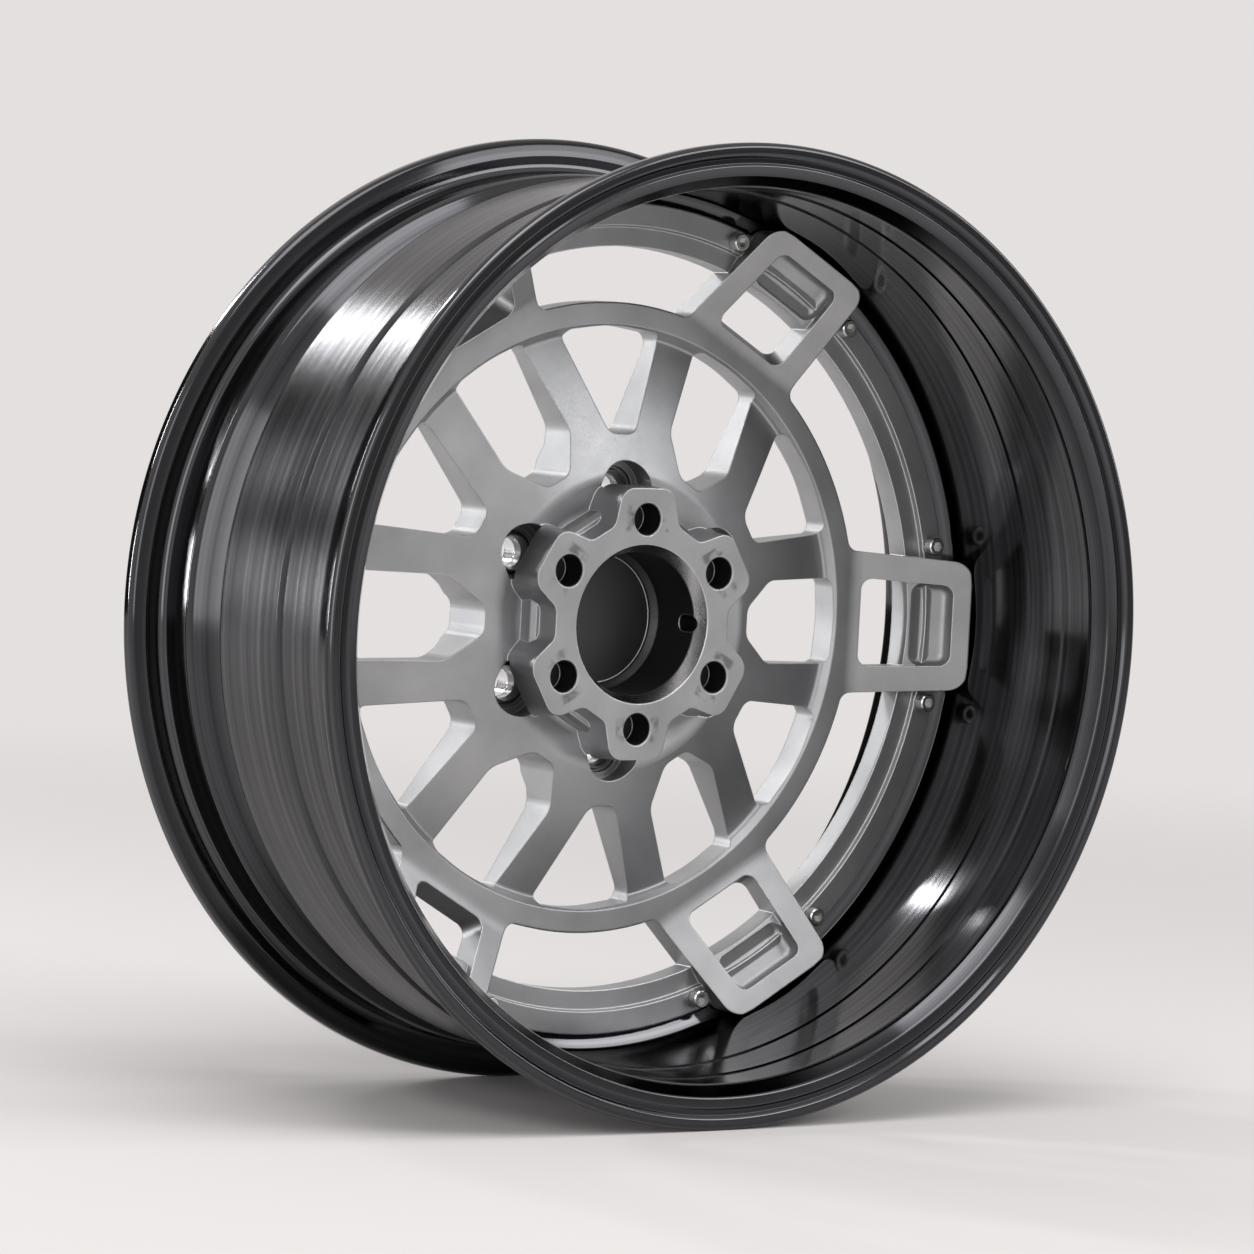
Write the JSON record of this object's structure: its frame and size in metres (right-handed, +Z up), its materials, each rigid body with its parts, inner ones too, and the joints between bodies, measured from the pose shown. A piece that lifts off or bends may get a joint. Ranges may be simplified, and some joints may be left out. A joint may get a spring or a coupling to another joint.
{
  "type": "car wheel",
  "caption": "Deep-lip car wheel without a tyre: a dark polished barrel with a bolted forged centre of paired spokes, a ring and open frames, and a raised hub.",
  "frame": {"origin": "on the axle line at the rim's mid-width", "axes": "+Y along the axle towards the car, -Y the street side, +Z up, as the wheel stands in the picture"},
  "size_m": [0.497, 0.2006, 0.4969],
  "materials": {
    "barrel": "spun and polished, dark tinted clear coat",
    "centre": "forged and milled, fine satin grain",
    "bolt": "plain stainless, bright",
    "seat": "turned steel"
  },
  "bodies": {
    "root": {"barrel": "barrel", "wheel_centre": "centre", "rim_bolts": "bolt", "lug_seat_1": "seat", "lug_seat_2": "seat", "lug_seat_3": "seat", "lug_seat_4": "seat", "lug_seat_5": "seat", "lug_seat_6": "seat"}
  },
  "joints": []
}
